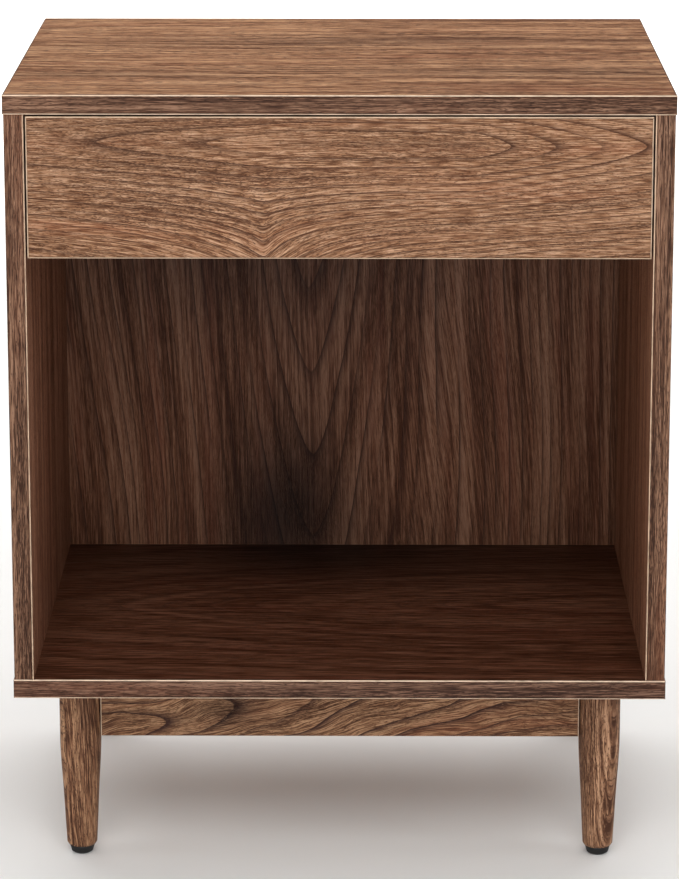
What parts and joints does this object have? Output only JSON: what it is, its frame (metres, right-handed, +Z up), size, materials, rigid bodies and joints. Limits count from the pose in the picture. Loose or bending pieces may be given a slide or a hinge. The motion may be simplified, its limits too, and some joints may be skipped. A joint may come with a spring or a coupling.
{
  "type": "nightstand with drawer",
  "caption": "Low box nightstand on turned tapered legs, with a handle-less drawer on telescopic slides above an open bay.",
  "frame": {"origin": "on the floor, under the middle of the case's width and depth", "axes": "+Z up, the drawer front faces -Y, +X is to the right of someone facing the front"},
  "size_m": [0.508, 0.4, 0.62],
  "materials": {
    "walnut_veneer": "satin",
    "edge_veneer": "satin",
    "leg_wood": "satin",
    "back_board": "satin",
    "drawer_box_board": "matte",
    "glide_plastic": "matte",
    "cage_plastic": "matte",
    "cage_steel": "satin",
    "zinc_steel": "satin",
    "ball_steel": "polished",
    "zinc_cam": "satin",
    "screw_steel": "satin",
    "beech_dowel": "matte"
  },
  "bodies": {
    "cabinet": {"apron_cam_bolts": "screw_steel", "apron_cam_nuts": "zinc_cam", "apron_dowels": "beech_dowel", "back_panel": "back_board", "base_connecting_screws": "screw_steel", "bottom_end_edge_bands": "edge_veneer", "bottom_front_edge_band": "edge_veneer", "bottom_panel": "walnut_veneer", "cabinet_member_screws": "screw_steel", "case_dowels": "beech_dowel", "front_apron": "walnut_veneer", "front_left_glide": "glide_plastic", "front_left_leg": "leg_wood", "front_right_glide": "glide_plastic", "front_right_leg": "leg_wood", "left_side_edge_band": "edge_veneer", "left_side_panel": "walnut_veneer", "left_slide_cabinet_member": "zinc_steel", "leg_hanger_bolts": "screw_steel", "leg_threaded_inserts": "screw_steel", "rear_apron": "walnut_veneer", "rear_left_glide": "glide_plastic", "rear_left_leg": "leg_wood", "rear_right_glide": "glide_plastic", "rear_right_leg": "leg_wood", "right_side_edge_band": "edge_veneer", "right_side_panel": "walnut_veneer", "right_slide_cabinet_member": "zinc_steel", "top_cam_bolts": "screw_steel", "top_cam_nuts": "zinc_cam", "top_end_edge_bands": "edge_veneer", "top_front_edge_band": "edge_veneer", "top_panel": "walnut_veneer"},
    "drawer": {"drawer_back": "drawer_box_board", "drawer_back_screws": "screw_steel", "drawer_bottom": "drawer_box_board", "drawer_bottom_screws": "screw_steel", "drawer_cam_bolts": "screw_steel", "drawer_cam_nuts": "zinc_cam", "drawer_front": "walnut_veneer", "drawer_front_dowels": "beech_dowel", "drawer_front_edge_bands": "edge_veneer", "drawer_left_side": "drawer_box_board", "drawer_member_screws": "screw_steel", "drawer_right_side": "drawer_box_board", "left_slide_drawer_member": "zinc_steel", "right_slide_drawer_member": "zinc_steel"},
    "left_middle": {"left_slide_middle_member": "zinc_steel"},
    "right_middle": {"right_slide_middle_member": "zinc_steel"},
    "left_outer_cage": {"left_slide_outer_balls": "ball_steel", "left_slide_outer_cage": "cage_steel"},
    "right_outer_cage": {"right_slide_outer_balls": "ball_steel", "right_slide_outer_cage": "cage_steel"},
    "left_inner_cage": {"left_slide_inner_balls": "ball_steel", "left_slide_inner_cage": "cage_plastic"},
    "right_inner_cage": {"right_slide_inner_balls": "ball_steel", "right_slide_inner_cage": "cage_plastic"}
  },
  "joints": [
    {"name": "drawer_slide", "type": "slide", "parent": "cabinet", "child": "drawer", "axis": [0, -1, 0], "range_m": [0, 0.3]},
    {"name": "left_middle_slide", "type": "slide", "parent": "cabinet", "child": "left_middle", "axis": [0, -1, 0], "range_m": [0, 0.15]},
    {"name": "left_outer_cage_slide", "type": "slide", "parent": "cabinet", "child": "left_outer_cage", "axis": [0, -1, 0], "range_m": [0, 0.075]},
    {"name": "left_inner_cage_slide", "type": "slide", "parent": "cabinet", "child": "left_inner_cage", "axis": [0, -1, 0], "range_m": [0, 0.225]},
    {"name": "right_middle_slide", "type": "slide", "parent": "cabinet", "child": "right_middle", "axis": [0, -1, 0], "range_m": [0, 0.15]},
    {"name": "right_outer_cage_slide", "type": "slide", "parent": "cabinet", "child": "right_outer_cage", "axis": [0, -1, 0], "range_m": [0, 0.075]},
    {"name": "right_inner_cage_slide", "type": "slide", "parent": "cabinet", "child": "right_inner_cage", "axis": [0, -1, 0], "range_m": [0, 0.225]}
  ],
  "couplings": [
    {"joint": "left_middle_slide", "follows": "drawer_slide", "ratio": 0.5},
    {"joint": "left_outer_cage_slide", "follows": "drawer_slide", "ratio": 0.25},
    {"joint": "left_inner_cage_slide", "follows": "drawer_slide", "ratio": 0.75},
    {"joint": "right_middle_slide", "follows": "drawer_slide", "ratio": 0.5},
    {"joint": "right_outer_cage_slide", "follows": "drawer_slide", "ratio": 0.25},
    {"joint": "right_inner_cage_slide", "follows": "drawer_slide", "ratio": 0.75}
  ]
}
